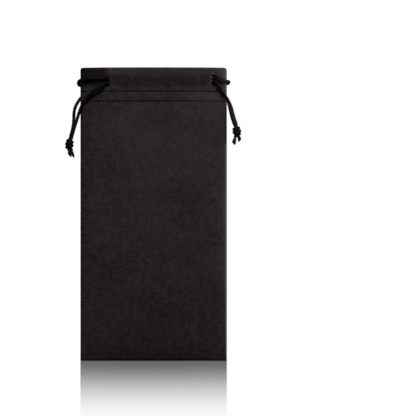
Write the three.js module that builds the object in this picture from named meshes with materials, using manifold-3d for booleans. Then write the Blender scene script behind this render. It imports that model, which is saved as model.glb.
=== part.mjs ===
// Soft drawstring pouch for a pair of glasses: two microfibre panels sewn face to face, a turned-in
// hem with a cord channel round the mouth, and two cords that leave the channel at opposite ends.
//
// Frame, in millimetres: X is the pouch's width, -Y its front, +Z up. The origin is the middle of the
// bottom edge, so the pouch stands on z = 0.

import * as THREE from 'three';
import { mergeVertices } from 'three/addons/utils/BufferGeometryUtils.js';
import Module from 'manifold-3d';

const wasm = await Module();
wasm.setup();

// ---- driving dimensions ----------------------------------------------------------------------

const WIDTH = 90;
const HEIGHT = 180;
const HALF = WIDTH / 2;
const CLEARANCE = 0.3; // between solids that touch on the real pouch

const BOTTOM_HALF_DEPTH = 3.5; // half the pouch's depth on its middle line, at three heights
const BELLY_HALF_DEPTH = 9.0;
const MOUTH_HALF_DEPTH = 7.6;
const BELLY_HEIGHT = 85;
const EDGE_HALF_DEPTH = 1.6; // half the thickness of the side edges
const HEM_EDGE_HALF_DEPTH = 2.2;
const EDGE_ROUNDING = 0.6; // power of the lens-shaped cross-section

const WALL = 1.0; // one layer of fabric
const HEM_WALL = 1.9; // two layers, sewn together
const CHANNEL_DEPTH = 4.4; // outer wall, cord space and inner wall
const HEM_BOTTOM = 157.2;
const LOWER_ROW = 159.1; // heights of the two rows of stitches
const UPPER_ROW = 165.2;
const CHANNEL_BOTTOM = 166.2;
const BULGE = 1.4; // how far the channel's outer wall stands proud
const BULGE_START = 166.5; // heights where that begins and is full
const BULGE_TOP = 175.5;
const SEAM_BAND = 2.0; // width of the sewn band along the sides
const BOTTOM_BAND = 2.5;
const CORNER_RADIUS = 1.5; // the two corners of the mouth

const GROOVE = 0.75; // depth of the valley that each row of stitches sits in
const GROOVE_HALF_WIDTH = 0.9;
const THREAD = 0.44; // thread diameter
const SEAM_THREAD = 0.6;
const SEAM_TUNNEL = 1.4; // room for the seam thread between the panels
const SEAM_INSET = 1.6; // from the edge to the line of the seam
const STITCH_REACH = 41; // half the length of a row of stitches

const CORD = 2.0; // cord diameter
const SLOT_WIDTH = 3.4; // the punched holes
const SLOT_HEIGHT = 7.0;
const LEFT_HOLE = { x: -28.6, z: 171.6 };
const RIGHT_HOLE = { x: 37.0, z: 172.4 };
const KNOT_LEFT = { x: -51.8, z: 133.2, width: 5.3, height: 7.2 };
const KNOT_RIGHT = { x: 51.1, z: 141.2, width: 5.5, height: 6.6 };
const END_LENGTH = 5.6; // frayed ends below each knot

const STATIONS = 26; // cross-sections along the width
const CORD_SIDES = 8;
const CORD_STEP = 5; // millimetres between rings of a cord

// ---- materials -------------------------------------------------------------------------------

function material(color, roughness) {
  return new THREE.MeshStandardMaterial({ color, roughness, metalness: 0 });
}

const fabric = material(0x262223, 0.62);
const thread = material(0x141213, 0.55);
const braid = material(0x121112, 0.7);

// ---- the pouch's form ------------------------------------------------------------------------

function smoothstep(low, high, value) {
  const t = Math.min(1, Math.max(0, (value - low) / (high - low)));
  return t * t * (3 - 2 * t);
}

// Half the depth between the pouch's two outer faces at a point of its outline.
function halfDepth(x, z) {
  const rise = Math.sin((Math.PI / 2) * Math.min(1, Math.max(0, z) / BELLY_HEIGHT));
  const fall = smoothstep(BELLY_HEIGHT, HEM_BOTTOM, z);
  const middle =
    BOTTOM_HALF_DEPTH +
    (BELLY_HALF_DEPTH - BOTTOM_HALF_DEPTH) * rise -
    (BELLY_HALF_DEPTH - MOUTH_HALF_DEPTH) * fall;
  const edge = EDGE_HALF_DEPTH + (HEM_EDGE_HALF_DEPTH - EDGE_HALF_DEPTH) * smoothstep(140, HEM_BOTTOM, z);
  const across = Math.min(1, Math.abs(x) / HALF);
  return edge + (middle - edge) * Math.pow(1 - across * across, EDGE_ROUNDING);
}

// How thick the panel is at a height, from its outer face to its inner one.
function thickness(z) {
  if (z < HEM_BOTTOM + 0.05) return WALL;
  return z < CHANNEL_BOTTOM + 0.02 ? HEM_WALL : CHANNEL_DEPTH;
}

// Distance from the middle plane to a layer of the panel. The layers are pressed together towards the
// edges, and the panel fills the whole half-depth along its sewn sides and bottom.
function layerDepth(x, z, offset) {
  const outer = halfDepth(x, z);
  const room = outer - CLEARANCE / 2;
  const full = thickness(z);
  const sewn = Math.max(
    smoothstep(HALF - SEAM_BAND - 2, HALF - SEAM_BAND, Math.abs(x)),
    1 - smoothstep(BOTTOM_BAND, BOTTOM_BAND + 2, z),
  );
  const scale = THREE.MathUtils.lerp(Math.min(1, room / full), room / full, sewn);
  return outer + offset * scale;
}

// The rounded corners of the mouth pull the outline in near the top.
function outlineX(x, z) {
  const over = Math.max(0, z - (HEIGHT - CORNER_RADIUS)) / CORNER_RADIUS;
  const inset = CORNER_RADIUS * (1 - Math.sqrt(1 - Math.min(1, over) ** 2));
  return x * (1 - inset / HALF);
}

// ---- solids ----------------------------------------------------------------------------------

function toManifold(geometry) {
  const bare = geometry.clone();
  bare.deleteAttribute('normal');
  bare.deleteAttribute('uv');
  const merged = mergeVertices(bare, 1e-4);
  return new wasm.Manifold(
    new wasm.Mesh({
      numProp: 3,
      vertProperties: new Float32Array(merged.attributes.position.array),
      triVerts: new Uint32Array(merged.index.array),
    }),
  );
}

function toGeometry(solid) {
  const mesh = solid.getMesh();
  const geometry = new THREE.BufferGeometry();
  geometry.setAttribute('position', new THREE.BufferAttribute(mesh.vertProperties, 3));
  geometry.setIndex(new THREE.BufferAttribute(mesh.triVerts, 1));
  geometry.computeVertexNormals();
  return geometry;
}

// A tube of round section along a smooth line through the points.
function tube(points, diameter, step = CORD_STEP, sides = CORD_SIDES) {
  const path = new THREE.CatmullRomCurve3(points, false, 'centripetal');
  const ring = [];
  for (let i = 0; i < sides; i += 1) {
    const angle = (2 * Math.PI * i) / sides;
    ring.push(new THREE.Vector2((Math.cos(angle) * diameter) / 2, (Math.sin(angle) * diameter) / 2));
  }
  return new THREE.ExtrudeGeometry(new THREE.Shape(ring), {
    steps: Math.max(2, Math.round(path.getLength() / step)),
    bevelEnabled: false,
    extrudePath: path,
  });
}

// How far the channel stands proud of the even face.
function bulge(z) {
  return BULGE * smoothstep(BULGE_START, BULGE_TOP, z);
}

// The panel's section, as (offset from the outer face, height). Positive offsets stand proud.
function panelSection() {
  const outline = [];
  const levels = [0, 3, 6, 14, 28, 42, 57, 72, 88, 104, 120, 136, 150];
  for (const z of levels) outline.push([0, z]);
  for (const row of [LOWER_ROW, UPPER_ROW]) {
    outline.push([0, row - GROOVE_HALF_WIDTH], [-GROOVE, row], [0, row + GROOVE_HALF_WIDTH]);
  }
  for (const z of [169.5, 172.5, BULGE_TOP]) outline.push([bulge(z), z]);
  outline.push([1.1, 178], [0.1, 179.4], [-0.9, HEIGHT], [-3, HEIGHT], [-4.1, 179.3]);
  outline.push([-CHANNEL_DEPTH, 177], [-CHANNEL_DEPTH, 169], [-3.6, 167.5]);
  outline.push([-HEM_WALL, CHANNEL_BOTTOM], [-HEM_WALL, HEM_BOTTOM + 0.4], [-WALL, HEM_BOTTOM]);
  for (const z of levels.slice(1).reverse()) outline.push([-WALL, z]);
  outline.push([-WALL, 0]);

  const space = [
    [-0.7, 169.5], [-0.1, 172.5], [0.3, 175.5], [-0.2, 177.5], [-1.3, 178.6], [-2.7, 178.6],
    [-3.5, 177], [-3.5, 169.5], [-2.6, 168.2], [-1.2, 168.2],
  ];
  const shape = new THREE.Shape(outline.map(([o, z]) => new THREE.Vector2(o, z)));
  shape.holes.push(new THREE.Path(space.map(([o, z]) => new THREE.Vector2(o, z))));
  return shape;
}

// A punched hole, as a cutter that goes through the channel's outer wall only.
function slotCutter(hole, side) {
  const r = SLOT_WIDTH / 2;
  const straight = SLOT_HEIGHT / 2 - r;
  const outline = new THREE.Shape();
  outline.absarc(0, straight, r, 0, Math.PI, false);
  outline.absarc(0, -straight, r, Math.PI, 2 * Math.PI, false);
  const depth = 5;
  const cutter = new THREE.ExtrudeGeometry(outline, { depth, bevelEnabled: false, curveSegments: 5 });
  cutter.rotateX(Math.PI / 2);
  const inside = layerDepth(hole.x, hole.z, -1.8);
  const y = side < 0 ? -inside : inside + depth;
  cutter.translate(hole.x, y, hole.z);
  return toManifold(cutter);
}

// The tunnels that the seam threads run in, between the two panels.
function seamTunnels() {
  const side = (x) => {
    const bore = new THREE.CylinderGeometry(SEAM_TUNNEL / 2, SEAM_TUNNEL / 2, HEIGHT - 30, CORD_SIDES);
    bore.rotateX(Math.PI / 2);
    bore.translate(x, 0, HEIGHT / 2 - 9);
    return toManifold(bore);
  };
  const along = new THREE.CylinderGeometry(SEAM_TUNNEL / 2, SEAM_TUNNEL / 2, WIDTH - 12, CORD_SIDES);
  along.rotateZ(Math.PI / 2);
  along.translate(0, 0, SEAM_INSET);
  return [side(-HALF + SEAM_INSET), side(HALF - SEAM_INSET), toManifold(along)];
}

// side is -1 for the front panel and 1 for the back one.
function panel(side) {
  const blank = new THREE.ExtrudeGeometry(panelSection(), {
    depth: WIDTH,
    steps: STATIONS,
    bevelEnabled: false,
  });
  const position = blank.attributes.position;
  for (let i = 0; i < position.count; i += 1) {
    const offset = position.getX(i);
    const z = position.getY(i);
    const x = side * (position.getZ(i) - HALF);
    const depth = layerDepth(x, z, offset);
    position.setXYZ(i, outlineX(x, z), side * depth, z);
  }
  let solid = toManifold(blank);
  for (const hole of [LEFT_HOLE, RIGHT_HOLE]) solid = solid.subtract(slotCutter(hole, side));
  for (const tunnel of seamTunnels()) solid = solid.subtract(tunnel);
  return toGeometry(solid);
}

// A row of stitches: the thread's line along the valley, just below the outer face.
function stitchRow(side, z) {
  const points = [];
  const pitch = WIDTH / STATIONS;
  for (let x = -STITCH_REACH + 2; x <= STITCH_REACH - 1; x += pitch) {
    points.push(new THREE.Vector3(x, side * layerDepth(x, z, -0.1), z));
  }
  return tube(points, THREAD, pitch, 6);
}

function sideSeam(side) {
  const x = side * (HALF - SEAM_INSET);
  const points = [8, 60, 110, 154].map((z) => new THREE.Vector3(x, 0, z));
  return tube(points, SEAM_THREAD, 24, 6);
}

function bottomSeam() {
  const points = [-36, -12, 12, 36].map((x) => new THREE.Vector3(x, 0, SEAM_INSET));
  return tube(points, SEAM_THREAD, 12, 6);
}

// ---- cords -----------------------------------------------------------------------------------

// A point outside the fabric: the cord's centre lies clear of the outer face by its radius.
function onFace(side, x, z, lift = 0) {
  const depth = halfDepth(x, z) + bulge(z) + CORD / 2 + CLEARANCE + lift;
  return new THREE.Vector3(x, side * depth, z);
}

// The stretch of cord inside the channel, from one hole to the other.
function channelRun(side, zLeft, zRight) {
  const points = [];
  for (let i = 0; i <= 6; i += 1) {
    const t = i / 6;
    const x = THREE.MathUtils.lerp(LEFT_HOLE.x + 1.5, RIGHT_HOLE.x - 1.5, t);
    const z = THREE.MathUtils.lerp(zLeft, zRight, t);
    points.push(new THREE.Vector3(x, side * layerDepth(x, z, -1.9), z));
  }
  return tube(points, CORD);
}

// The stretch that leaves one hole, goes round the edge of the pouch and enters the hole behind. front and
// back hold its heights at the hole and near the edge, and middle is its height where it crosses the edge.
function wrap(edge, hole, front, middle, back) {
  const { lerp } = THREE.MathUtils;
  const outside = edge * (HALF + CORD / 2 + CLEARANCE);
  const nearEdge = edge * (HALF - 4);
  const atHole = hole.x + edge * 1.6;
  const halfway = lerp(hole.x, nearEdge, 0.6);
  const points = [
    onFace(-1, atHole, front.hole, 0.1),
    onFace(-1, halfway, lerp(front.hole, front.edge, 0.4), 0.25),
    onFace(-1, nearEdge, front.edge, 0.55),
    new THREE.Vector3(outside - edge * 0.2, -3.0, (front.edge + middle) / 2),
    new THREE.Vector3(outside, 0, middle),
    new THREE.Vector3(outside - edge * 0.2, 3.0, (middle + back.edge) / 2),
    onFace(1, nearEdge, back.edge, 0.55),
    onFace(1, halfway, lerp(back.hole, back.edge, 0.4), 0.25),
    onFace(1, atHole, back.hole, 0.1),
  ];
  return tube(points, CORD, 2.4);
}

// The free cord from a hole to its knot, through hand-chosen points.
function tail(points) {
  return tube(points.map(([x, y, z]) => new THREE.Vector3(x, y, z)), CORD, 4);
}

const LEFT_FRONT_TAIL = [
  [-29.4, -9.5, 170.0], [-31.3, -9.7, 168.6], [-34.6, -9.2, 166.5], [-38.5, -7.9, 163.5],
  [-41.6, -6.3, 160.3], [-43.7, -4.8, 157.1], [-45.1, -3.5, 153.8], [-46.3, -2.6, 150.4],
  [-47.6, -1.9, 146.4], [-48.9, -1.5, 142.3], [-50.1, -1.2, 138.0],
];
const LEFT_BACK_TAIL = [
  [-29.4, 9.5, 170.2], [-32.0, 9.6, 169.1], [-36.4, 8.6, 167.6], [-40.8, 6.9, 165.4],
  [-44.3, 5.2, 162.5], [-46.7, 3.8, 159.2], [-48.4, 2.8, 155.7], [-49.1, 2.2, 152.1],
  [-49.2, 1.9, 148.5], [-49.5, 1.6, 145.0], [-50.2, 1.4, 141.4], [-51.1, 1.2, 138.0],
];
const RIGHT_FRONT_TAIL = [
  [37.9, -7.9, 171.4], [39.3, -7.9, 170.0], [41.1, -7.1, 167.0], [43.0, -6.0, 164.1],
  [44.9, -4.6, 161.1], [46.1, -3.5, 158.0], [46.9, -2.8, 154.7], [47.7, -2.2, 151.3],
  [48.5, -1.7, 148.4], [49.5, -1.3, 145.6],
];
const RIGHT_BACK_TAIL = [
  [37.9, 7.9, 171.4], [38.8, 7.9, 169.5], [40.6, 7.4, 166.9], [43.0, 6.3, 164.1],
  [45.2, 4.9, 161.2], [46.9, 3.7, 158.1], [48.0, 2.8, 154.9], [48.8, 2.2, 151.8],
  [49.7, 1.7, 148.6], [50.7, 1.3, 145.6],
];

// An overhand knot tied in both strands at once: turns of cord drawn tight round each other.
function knot({ x, z, width, height }) {
  const turn = (radius, tiltX, tiltY, dz) => {
    const ring = new THREE.TorusGeometry(radius, CORD / 2, 7, 12);
    ring.rotateX(tiltX);
    ring.rotateY(tiltY);
    ring.translate(0, 0, dz);
    return toManifold(ring);
  };
  const radius = width / 2 - CORD / 2;
  const rise = height / 2 - CORD / 2 - 0.4;
  const core = new THREE.SphereGeometry(1, 8, 6);
  core.scale(radius, radius, rise + 0.4);
  const solid = toManifold(core)
    .add(turn(radius, 0.3, 0.25, rise - 0.3))
    .add(turn(radius, -0.35, -0.2, -rise + 0.3))
    .add(turn(radius, 1.15, 0.5, 0));
  const geometry = toGeometry(solid);
  geometry.translate(x, 0, z);
  return geometry;
}

// A cut end of cord below the knot, opened out where the braid frays.
function frayedEnd(x, y, z, lean) {
  const r = CORD / 2;
  const profile = [[0, -END_LENGTH], [r * 1.5, -END_LENGTH], [r, -END_LENGTH * 0.45], [r * 0.9, 0], [0, 0]];
  const end = new THREE.LatheGeometry(profile.map(([a, b]) => new THREE.Vector2(a, b)), CORD_SIDES);
  end.rotateX(Math.PI / 2);
  end.rotateY(-lean);
  end.translate(x, y, z);
  return end;
}

// ---- the assembly ----------------------------------------------------------------------------

const pouch = new THREE.Group();

function add(name, geometry, finish) {
  const mesh = new THREE.Mesh(geometry, finish);
  mesh.name = name;
  pouch.add(mesh);
}

for (const [name, side] of [['front', -1], ['back', 1]]) {
  add(`${name}_panel`, panel(side), fabric);
  add(`${name}_upper_stitch`, stitchRow(side, UPPER_ROW), thread);
  add(`${name}_lower_stitch`, stitchRow(side, LOWER_ROW), thread);
}
add('left_side_seam', sideSeam(-1), thread);
add('right_side_seam', sideSeam(1), thread);
add('bottom_seam', bottomSeam(), thread);

// Each cord is named by the side that its ends come out of. It lies below the other one.
add('left_cord_front_run', channelRun(-1, 170.7, 171.9), braid);
add('left_cord_back_run', channelRun(1, 170.7, 171.9), braid);
add(
  'left_cord_wrap',
  wrap(1, RIGHT_HOLE, { hole: 173.5, edge: 171.8 }, 171.2, { hole: 173.4, edge: 170.1 }),
  braid,
);
add('left_cord_front_tail', tail(LEFT_FRONT_TAIL), braid);
add('left_cord_back_tail', tail(LEFT_BACK_TAIL), braid);
add('left_cord_knot', knot(KNOT_LEFT), braid);
add('left_cord_front_end', frayedEnd(-52.3, -1.6, 129.2, -0.05), braid);
add('left_cord_back_end', frayedEnd(-50.6, 1.6, 129.2, -0.2), braid);

add('right_cord_front_run', channelRun(-1, 174.0, 175.2), braid);
add('right_cord_back_run', channelRun(1, 174.0, 175.2), braid);
add(
  'right_cord_wrap',
  wrap(-1, LEFT_HOLE, { hole: 173.4, edge: 172.9 }, 170.4, { hole: 172.6, edge: 168.7 }),
  braid,
);
add('right_cord_front_tail', tail(RIGHT_FRONT_TAIL), braid);
add('right_cord_back_tail', tail(RIGHT_BACK_TAIL), braid);
add('right_cord_knot', knot(KNOT_RIGHT), braid);
add('right_cord_front_end', frayedEnd(50.2, -1.6, 137.3, 0.2), braid);
add('right_cord_back_end', frayedEnd(52.2, 1.6, 137.3, -0.15), braid);

export default pouch;
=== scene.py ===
"""The looks of a soft drawstring pouch for glasses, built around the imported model. Units are metres."""

import math

import bmesh
import bpy
import numpy as np
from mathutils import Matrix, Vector


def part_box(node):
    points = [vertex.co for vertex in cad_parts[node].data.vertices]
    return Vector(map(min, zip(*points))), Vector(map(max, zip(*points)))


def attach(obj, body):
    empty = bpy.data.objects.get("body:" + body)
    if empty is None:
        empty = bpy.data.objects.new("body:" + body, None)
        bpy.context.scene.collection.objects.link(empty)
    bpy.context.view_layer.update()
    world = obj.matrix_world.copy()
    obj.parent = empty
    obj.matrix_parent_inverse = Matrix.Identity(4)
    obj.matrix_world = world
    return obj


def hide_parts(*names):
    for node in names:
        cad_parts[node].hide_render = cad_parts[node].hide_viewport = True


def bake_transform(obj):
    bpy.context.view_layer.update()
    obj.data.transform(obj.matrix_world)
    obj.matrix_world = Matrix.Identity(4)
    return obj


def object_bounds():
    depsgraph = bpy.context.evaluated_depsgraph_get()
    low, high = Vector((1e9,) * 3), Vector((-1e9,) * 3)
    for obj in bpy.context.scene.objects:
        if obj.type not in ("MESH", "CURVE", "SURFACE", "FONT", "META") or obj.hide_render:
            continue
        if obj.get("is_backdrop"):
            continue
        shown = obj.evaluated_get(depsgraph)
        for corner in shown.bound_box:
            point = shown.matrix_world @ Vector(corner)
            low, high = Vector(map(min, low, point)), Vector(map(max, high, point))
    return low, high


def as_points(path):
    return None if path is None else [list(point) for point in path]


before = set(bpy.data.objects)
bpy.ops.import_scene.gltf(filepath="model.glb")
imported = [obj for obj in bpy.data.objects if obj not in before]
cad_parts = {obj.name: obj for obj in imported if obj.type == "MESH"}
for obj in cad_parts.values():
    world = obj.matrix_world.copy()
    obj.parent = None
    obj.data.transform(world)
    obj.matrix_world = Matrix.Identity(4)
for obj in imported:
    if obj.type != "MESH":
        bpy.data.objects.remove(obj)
cad_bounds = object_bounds()

# ---- driving dimensions, as in the model ---------------------

panel_low, panel_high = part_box("front_panel")
HALF = panel_high.x
HEIGHT = panel_high.z
BOTTOM_HALF_DEPTH = 0.0035
BELLY_HALF_DEPTH = 0.0090
MOUTH_HALF_DEPTH = 0.0076
BELLY_HEIGHT = 0.085
EDGE_HALF_DEPTH = 0.0016
HEM_EDGE_HALF_DEPTH = 0.0022
EDGE_POWER = 0.6  # how full the pouch stays towards its sides
EDGE_ROUND = 0.0012  # how far in the rolled side edge reaches
BOTTOM_ROUND = 0.0018  # how far up the turned bottom edge reaches
BOTTOM_TURN = 0.72  # and how much of the depth it takes away
BOTTOM_SEAM_Z = 0.0026
FOOT_TUCK = 0.0021  # how far each wall draws in right at the bottom
FOOT_REACH = 0.0048  # and how soon that fades upwards
CORNER_RADIUS = 0.0015

WALL = 0.0010
HEM_WALL = 0.0019
CHANNEL_DEPTH = 0.0044
CHANNEL_MIDDLE = -0.0019  # offset of the cord channel's middle from the outer face
CHANNEL_SWELL = 0.7  # how far that middle follows the face as it swells out
HEM_BOTTOM = 0.1572
LOWER_ROW = 0.1591
UPPER_ROW = 0.1652
CHANNEL_BOTTOM = 0.1662
FOLD_START = 0.1787  # where the top fold begins to turn over
FOLD_CREST = -0.0010  # offset of the fold's highest line from the outer face
SWELL_SLOPE = 0.26  # how steeply the full channel leans out above the upper row
LEAN_BACK = 0.06  # and how it leans back towards the top
PANEL_GAP = 0.00005
SEAM_BAND = 0.0020
AT_STEP = 0.0001  # just past a step in the thickness

STITCH_PITCH = 0.0030
STITCH_LENGTH = 0.0029
THREAD_RADIUS = 0.00030
GROOVE = 0.00032  # depth of the valley along a row of stitches
GROOVE_ABOVE = 0.00034  # its reach above the row
GROOVE_BELOW = 0.00045  # and below it
HEM_STEP = 0.00024  # how far the fabric stands further out above each row of stitches

CORD = 0.0020
RIB_PITCH = 0.00138
HOLES = {"left": (-0.0286, 0.1716), "right": (0.0370, 0.1724)}
SLOT_WIDTH = 0.0034
SLOT_HEIGHT = 0.0070

# Heights of each wrapped cord: at its front hole, near the front edge, at the edge itself, near the back
# edge and at its back hole.
WRAPS = {
    "left": (0.1732, 0.1730, 0.1703, 0.1687, 0.1726),
    "right": (0.1736, 0.1717, 0.1712, 0.1701, 0.1734),
}
NEAR_EDGE = 0.0040  # where a wrapped cord starts to round the edge
DENT = 0.00040  # how deep a wrapped cord presses into the soft fabric

SPLIT_X = 0.0042  # the panels part here, halfway between the holes, where nothing moves
# Directions along which the fabric would go over from staying still to following its corner; they are read
# but not used.
GATHER_NORMAL = {"left": (-0.9, 0.0, 0.436), "right": (0.9, 0.0, 0.436)}

FACES = {"front": -1, "back": 1}  # each face's side of the middle plane
OUTWARD = {"left": -1, "right": 1}


# ---- camera --------------------------------------------------

VIEW_CENTRE_X = 0.0334
VIEW_CENTRE_Z = 0.0939
VIEW_WIDTH = 0.2557
LENS = 200
SENSOR = 36

camera = bpy.data.objects.new("camera", bpy.data.cameras.new("camera"))
camera.data.lens = LENS
camera.data.sensor_width = SENSOR
camera.location = (VIEW_CENTRE_X, -VIEW_WIDTH * LENS / SENSOR, VIEW_CENTRE_Z)
camera.rotation_euler = (math.radians(90), 0, 0)
bpy.context.scene.collection.objects.link(camera)
bpy.context.scene.camera = camera


# ---- numbers -------------------------------------------------


def smoothstep(low, high, value):
    t = np.clip((value - low) / (high - low), 0, 1)
    return t * t * (3 - 2 * t)


def bump(centre, width, value):
    return np.exp(-(((value - centre) / width) ** 2))


def ripples(x, z, seed, wavelength, spread=0.4, tilt=None, count=18):
    """Smooth irregular waves of about that length and of unit size, in all directions or along tilt."""
    rng = np.random.default_rng(seed)
    total = np.zeros(np.broadcast(x, z).shape)
    for _ in range(count):
        angle = rng.uniform(0, 2 * math.pi) if tilt is None else tilt + rng.normal(0, 0.16)
        k = 2 * math.pi / (wavelength * math.exp(rng.normal(0, spread)))
        phase = rng.uniform(0, 2 * math.pi)
        total += np.cos(k * (x * math.cos(angle) + z * math.sin(angle)) + phase)
    return total * math.sqrt(2 / count)


# ---- the pouch's form ----------------------------------------


def wrinkles(side, x, z):
    """How far the soft fabric stands proud of its even form."""
    seed = 11 if side < 0 else 47
    inside = 1 - smoothstep(HALF - 0.006, HALF - 0.0008, np.abs(x))
    standing = smoothstep(0, 0.012, z)
    broad = 0.00010 * ripples(x, z, seed, 0.036) * standing
    middling = 0.000022 * ripples(x, z, seed + 1, 0.010) * standing
    near_hem = np.where(z < UPPER_ROW, np.exp((z - UPPER_ROW) / 0.018), 1.0)
    gathers = 0.00009 * ripples(x, z, seed + 2, 0.0085, 0.25, tilt=0.0) * near_hem
    puckers = np.zeros(np.shape(x))
    for row in (LOWER_ROW, UPPER_ROW):
        closeness = np.exp(-np.abs(z - row) / 0.0014)
        stitched = 0.00004 * np.cos(2 * math.pi * (x + HALF) / STITCH_PITCH)
        uneven = 0.00005 * ripples(x, z, seed + 3, 0.0045, 0.3, tilt=0.0)
        puckers = puckers + closeness * (stitched + uneven)
    pulls = np.zeros(np.shape(x))
    for hole_x, hole_z in HOLES.values():
        # The fabric sinks at a hole, rises round it and is drawn into rays.
        away = np.hypot(x - hole_x, z - hole_z)
        angle = np.arctan2(z - hole_z, x - hole_x)
        pulls = pulls - 0.00040 * bump(0, 0.0042, away)
        pulls = pulls + 0.00012 * bump(0.0060, 0.0024, away)
        pulls = pulls + 0.00010 * np.cos(9 * angle + 1.3) * bump(0.0052, 0.0026, away)
    for hand, (hole_x, _) in HOLES.items():
        at_hole, near_edge = WRAPS[hand][:2] if side < 0 else WRAPS[hand][:2:-1]
        along = np.clip((x - hole_x) * OUTWARD[hand] / (HALF - NEAR_EDGE - abs(hole_x)), 0, 1.2)
        cord_z = at_hole + (near_edge - at_hole) * along
        pulls = pulls - DENT * bump(cord_z, 0.0013, z) * smoothstep(0.02, 0.25, along)
    seam = np.exp(-(HALF - np.abs(x)) / 0.0045)
    drawn = 0.00008 * ripples(x, z, seed + 4, 0.012, 0.3, tilt=math.pi / 2) * seam
    return (broad + middling + gathers + puckers + pulls + drawn) * inside


def outer_depth(side, x, z):
    """Half the pouch's depth at its outer face, wrinkles included."""
    rise = np.sin((math.pi / 2) * np.clip(z / BELLY_HEIGHT, 0, 1))
    fall = smoothstep(BELLY_HEIGHT, HEM_BOTTOM, z)
    middle = (
        BOTTOM_HALF_DEPTH
        + (BELLY_HALF_DEPTH - BOTTOM_HALF_DEPTH) * rise
        - (BELLY_HALF_DEPTH - MOUTH_HALF_DEPTH) * fall
    )
    edge = EDGE_HALF_DEPTH + (HEM_EDGE_HALF_DEPTH - EDGE_HALF_DEPTH) * smoothstep(0.140, HEM_BOTTOM, z)
    across = np.clip(np.abs(x) / HALF, 0, 1)
    rolled = np.clip((np.abs(x) - (HALF - EDGE_ROUND)) / EDGE_ROUND, 0, 1)
    roundness = np.sqrt(np.clip(1 - rolled**2, 0, 1))
    depth = (middle - edge) * (1 - across**2) ** EDGE_POWER + edge * roundness
    depth = depth + wrinkles(side, x, z) - FOOT_TUCK * np.exp(-z / FOOT_REACH) * (1 - across**8)
    turned = np.clip((BOTTOM_ROUND - z) / BOTTOM_ROUND, 0, 1)
    depth = depth * np.sqrt(1 - BOTTOM_TURN * turned**2)
    depth = depth - 0.00006 * bump(BOTTOM_SEAM_Z, 0.0005, z)
    return np.maximum(depth, PANEL_GAP * 1.5)


def thickness(z):
    hem = HEM_WALL + (CHANNEL_DEPTH - HEM_WALL) * (z > CHANNEL_BOTTOM + AT_STEP)
    return np.where(z < HEM_BOTTOM + AT_STEP, WALL, hem)


def layer_depth(side, x, z, offset):
    """Distance from the middle plane to a layer of the panel, at that offset from its outer face."""
    outer = outer_depth(side, x, z)
    room = outer - PANEL_GAP
    full = thickness(z)
    # Where the panels are sewn together, their layers fill all the room that there is.
    sewn = np.maximum(
        smoothstep(HALF - SEAM_BAND - 0.002, HALF - SEAM_BAND, np.abs(x)),
        1 - smoothstep(0.0025, 0.0045, z),
    )
    fitted = np.minimum(1, room / full)
    scale = fitted + (room / full - fitted) * sewn
    return outer + offset * scale


def outline_x(x, z):
    """The mouth's rounded corners draw the outline in near the top."""
    over = np.clip((z - (HEIGHT - CORNER_RADIUS)) / CORNER_RADIUS, 0, 1)
    inset = CORNER_RADIUS * (1 - np.sqrt(1 - over**2))
    return x * (1 - inset / HALF)


def swell_table():
    """Heights, and how far the channel's face stands out there."""
    z = np.linspace(UPPER_ROW, HEIGHT, 200)
    slope = SWELL_SLOPE * smoothstep(0.1661, 0.1704, z) * (1 - smoothstep(0.1724, 0.1760, z))
    slope = slope - LEAN_BACK * smoothstep(0.1750, 0.1770, z)
    return z, np.concatenate([[0], np.cumsum((slope[1:] + slope[:-1]) / 2 * np.diff(z))])


SWELL_AT, SWELL_OUT = swell_table()


def swell(z):
    return np.interp(z, SWELL_AT, SWELL_OUT)


def outer_profile(z):
    """Offset of the outer face: it steps out above each row of stitches, which lies in a valley."""
    band = 0.00005 * np.sin(math.pi * np.clip((z - LOWER_ROW) / (UPPER_ROW - LOWER_ROW), 0, 1))
    total = swell(z) + band
    for row in (LOWER_ROW, UPPER_ROW):
        total = total + HEM_STEP * smoothstep(row - 0.0002, row + 0.0005, z)
        total = total - GROOVE * bump(row, np.where(z > row, GROOVE_ABOVE, GROOVE_BELOW), z)
    return total


def channel_offset(z):
    """Offset of the middle of the cord channel, which swells with the outer face."""
    return CHANNEL_MIDDLE + CHANNEL_SWELL * swell(z)


def inner_profile(z):
    hem = HEM_WALL - 0.00035 * (bump(LOWER_ROW, 0.0005, z) + bump(UPPER_ROW, 0.0005, z))
    opened = smoothstep(CHANNEL_BOTTOM, CHANNEL_BOTTOM + 0.0024, z)
    return -np.where(z < HEM_BOTTOM, WALL, hem + (CHANNEL_DEPTH - HEM_WALL) * opened)


# ---- meshes --------------------------------------------------


def make_mesh(name, vertices, faces, smooth=True):
    mesh = bpy.data.meshes.new(name)
    mesh.from_pydata([tuple(v) for v in vertices], [], [tuple(f) for f in faces])
    mesh.validate()
    if smooth:
        mesh.shade_smooth()
    piece = bpy.data.objects.new(name, mesh)
    bpy.context.scene.collection.objects.link(piece)
    return piece


def ring_grid(rings, count):
    """Quads between neighbouring closed rings of count points each."""
    i = np.arange(count)
    j = np.arange(rings - 1)[:, None]
    a = j * count + i
    b = j * count + (i + 1) % count
    return np.stack([a, b, b + count, a + count], axis=-1).reshape(-1, 4)


def write_values(piece, name, values):
    """Keeps one value for each point of the piece, for its material."""
    piece.data.attributes.new(name, "FLOAT", "POINT").data.foreach_set("value", values)


def read_points(mesh):
    co = np.empty(len(mesh.vertices) * 3)
    mesh.vertices.foreach_get("co", co)
    return co.reshape(-1, 3)


def distances(line):
    """How far along the line each point is."""
    return np.concatenate([[0], np.cumsum(np.linalg.norm(np.diff(line, axis=0), axis=1))])


def spread_evenly(line, count):
    """The same line, as that many points at even distances."""
    reach = distances(line)
    at = np.linspace(0, reach[-1], count)
    return np.stack([np.interp(at, reach, values) for values in line.T], axis=1)


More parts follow.
